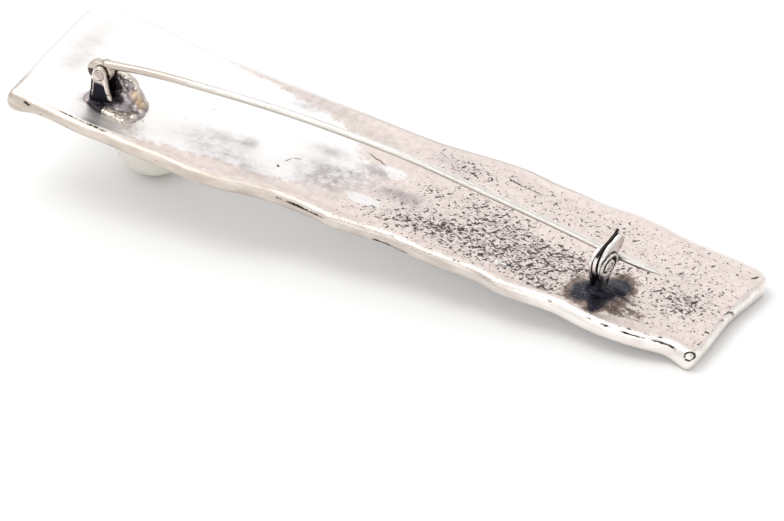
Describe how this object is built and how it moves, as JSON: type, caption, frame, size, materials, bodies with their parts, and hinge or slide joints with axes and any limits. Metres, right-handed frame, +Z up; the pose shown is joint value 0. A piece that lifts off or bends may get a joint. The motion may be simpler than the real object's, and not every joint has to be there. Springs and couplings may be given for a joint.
{
  "type": "pearl bar brooch",
  "caption": "Long wavy-edged hammered silver bar brooch with a pearl on its front, and a hinged pin and safety catch on its back.",
  "frame": {"origin": "middle of the footprint, on the surface that the brooch lies on", "axes": "+X along the bar from the pearl end to the catch end, +Y across the bar, +Z up; the back of the bar, with its pin, looks up"},
  "size_m": [0.0754, 0.0204, 0.0151],
  "materials": {
    "hammered_silver": "hammered silver, polished towards the pearl and pitted matte towards the catch",
    "bright_silver": "polished silver",
    "pearl": "lustrous pearl"
  },
  "bodies": {
    "brooch": {"bar": "hammered_silver", "pearl": "pearl", "hinge_rivet": "hammered_silver", "latch_rivet": "bright_silver"},
    "pin": {"pin_stem": "bright_silver"},
    "latch": {"catch_latch": "bright_silver"}
  },
  "joints": [
    {"name": "pin_hinge", "type": "hinge", "parent": "brooch", "child": "pin", "pos_m": [-0.02877, -0.00462, 0.01364], "axis": [0, -1, 0], "range_deg": [0, 100]},
    {"name": "latch_pivot", "type": "hinge", "parent": "brooch", "child": "latch", "pos_m": [0.02599, -0.00535, 0.0079], "axis": [0.9656, -0.1558, -0.2082], "range_deg": [-48, 0]}
  ]
}
